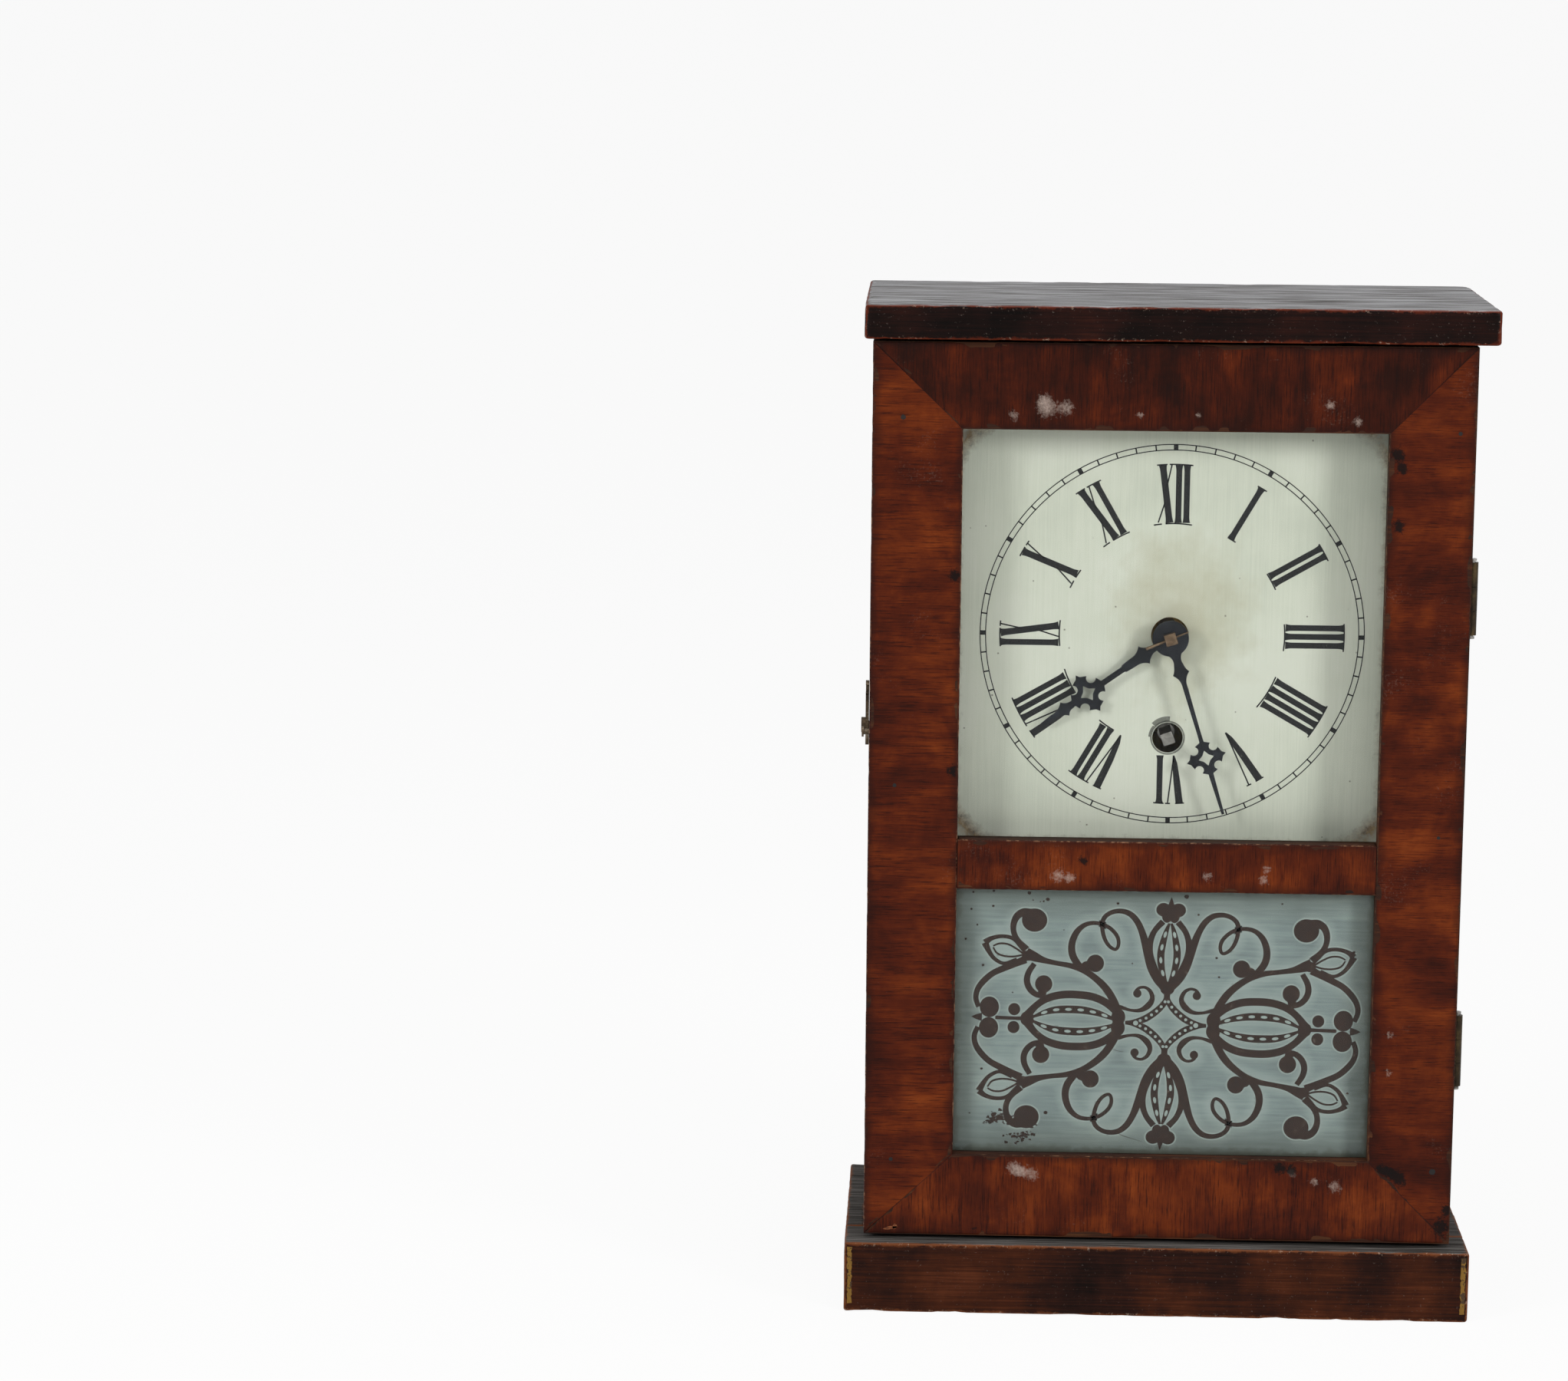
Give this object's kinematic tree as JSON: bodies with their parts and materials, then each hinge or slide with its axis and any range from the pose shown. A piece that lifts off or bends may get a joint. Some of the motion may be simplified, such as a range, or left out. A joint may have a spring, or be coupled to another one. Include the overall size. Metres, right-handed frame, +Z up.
{
  "type": "cottage clock",
  "caption": "Flat-topped wooden shelf clock with a hinged glazed door, Roman dial, ground-glass tablet, spring movement and pendulum.",
  "frame": {"origin": "middle of the door's width and of the depth, on the underside of the plinth", "axes": "+X to the right of someone facing the dial, +Y towards the back, +Z up"},
  "size_m": [0.188, 0.086, 0.305],
  "materials": {
    "veneer": "satin shellac over figured mahogany veneer, worn at the edges",
    "dark_wood": "old dark stain, worn at the corners",
    "plain_wood": "bare sawn softwood, brown with age",
    "brass": "rolled brass, dull",
    "steel": "turned steel",
    "blued_steel": "blue-black, satin",
    "iron": "dull wrought iron",
    "dial_paint": "aged off-white paint on zinc",
    "clear_glass": "clear window glass",
    "frosted_glass": "ground glass with a clear stencilled ornament"
  },
  "bodies": {
    "case": {"plinth": "dark_wood", "bottom_board": "plain_wood", "cap": "dark_wood", "back_board": "plain_wood", "left_side": "dark_wood", "right_side": "dark_wood", "hinge_case_leaves": "brass", "hinge_pins": "steel", "hinge_case_screws": "iron", "latch_screw": "iron", "dial": "dial_paint", "dial_strips": "plain_wood", "dial_tacks": "iron", "front_plate": "brass", "back_plate": "brass", "pillars": "steel", "pillar_pins": "steel", "movement_battens": "plain_wood", "movement_screws": "iron", "mainspring": "steel", "plate_studs": "steel", "suspension_post": "steel"},
    "door": {"door_bottom_rail": "veneer", "door_right_stile": "veneer", "door_top_rail": "veneer", "door_left_stile": "veneer", "door_middle_rail": "veneer", "dial_glass": "clear_glass", "tablet_glass": "frosted_glass", "glass_strips": "plain_wood", "hinge_door_leaves": "brass", "hinge_door_screws": "iron", "latch_pin": "iron"},
    "latch_hook": {"latch_hook": "iron"},
    "centre_arbor": {"centre_arbor": "steel", "hand_pin": "steel", "cannon_pinion": "brass", "minute_hand": "blued_steel"},
    "minute_wheel": {"minute_wheel": "brass"},
    "hour_wheel": {"hour_wheel": "brass", "hour_hand": "blued_steel"},
    "centre_wheel": {"centre_pinion": "steel", "centre_wheel": "brass", "tension_washer": "brass"},
    "third_wheel": {"third_arbor": "steel", "third_wheel": "brass"},
    "escape_wheel": {"escape_arbor": "steel", "escape_wheel": "brass"},
    "great_wheel": {"great_wheel": "brass", "click_rivet": "steel", "click_spring": "steel"},
    "winding_arbor": {"winding_arbor": "steel", "ratchet_wheel": "brass"},
    "click": {"click": "brass"},
    "verge": {"verge": "steel", "crutch": "steel"},
    "pendulum": {"suspension_spring": "steel", "pendulum_rod": "steel", "pendulum_bob": "brass", "rating_nut": "brass"}
  },
  "joints": [
    {"name": "door_hinge", "type": "hinge", "parent": "case", "child": "door", "pos_m": [0.08985, -0.0252, 0.149], "axis": [0, 0, 1], "range_deg": [0, 180]},
    {"name": "latch_turn", "type": "hinge", "parent": "case", "child": "latch_hook", "pos_m": [-0.08915, -0.0205, 0.1765], "axis": [1, 0, 0], "range_deg": [0, 90]},
    {"name": "minute_turn", "type": "hinge", "parent": "case", "child": "centre_arbor", "pos_m": [0.001, 0, 0.205], "axis": [0, 1, 0], "continuous": true},
    {"name": "minute_wheel_turn", "type": "hinge", "parent": "case", "child": "minute_wheel", "pos_m": [-0.011, 0, 0.205], "axis": [0, 1, 0], "continuous": true},
    {"name": "hour_turn", "type": "hinge", "parent": "case", "child": "hour_wheel", "pos_m": [0.001, 0, 0.205], "axis": [0, 1, 0], "continuous": true},
    {"name": "escape_turn", "type": "hinge", "parent": "case", "child": "escape_wheel", "pos_m": [0.013, 0, 0.232], "axis": [0, 1, 0], "continuous": true},
    {"name": "third_turn", "type": "hinge", "parent": "case", "child": "third_wheel", "pos_m": [-0.00571, 0, 0.22553], "axis": [0, 1, 0], "continuous": true},
    {"name": "centre_wheel_turn", "type": "hinge", "parent": "case", "child": "centre_wheel", "pos_m": [0.001, 0, 0.205], "axis": [0, 1, 0], "continuous": true},
    {"name": "great_wheel_turn", "type": "hinge", "parent": "case", "child": "great_wheel", "pos_m": [0.001, 0, 0.174], "axis": [0, 1, 0], "continuous": true},
    {"name": "winding_turn", "type": "hinge", "parent": "great_wheel", "child": "winding_arbor", "pos_m": [0.001, 0, 0.174], "axis": [0, 1, 0], "continuous": true},
    {"name": "click_turn", "type": "hinge", "parent": "great_wheel", "child": "click", "pos_m": [-0.01224, 0, 0.18104], "axis": [0, 1, 0], "range_deg": [0, 6.5], "stiffness_Nm_per_rad": 0.002, "springref_deg": -5.73},
    {"name": "pendulum_swing", "type": "hinge", "parent": "case", "child": "pendulum", "pos_m": [0.013, -0.0102, 0.258], "axis": [0, 1, 0], "range_deg": [-4, 4]},
    {"name": "verge_turn", "type": "hinge", "parent": "case", "child": "verge", "pos_m": [0.013, 0, 0.252], "axis": [0, 1, 0], "range_deg": [-4.8, 4.8]}
  ],
  "couplings": [
    {"joint": "minute_wheel_turn", "follows": "minute_turn", "ratio": -0.33333},
    {"joint": "hour_turn", "follows": "minute_turn", "ratio": 0.083333},
    {"joint": "third_turn", "follows": "escape_turn", "ratio": -0.090909},
    {"joint": "centre_wheel_turn", "follows": "escape_turn", "ratio": 0.0082645},
    {"joint": "great_wheel_turn", "follows": "escape_turn", "ratio": -0.0010331},
    {"joint": "verge_turn", "follows": "pendulum_swing", "ratio": 1.1818}
  ]
}
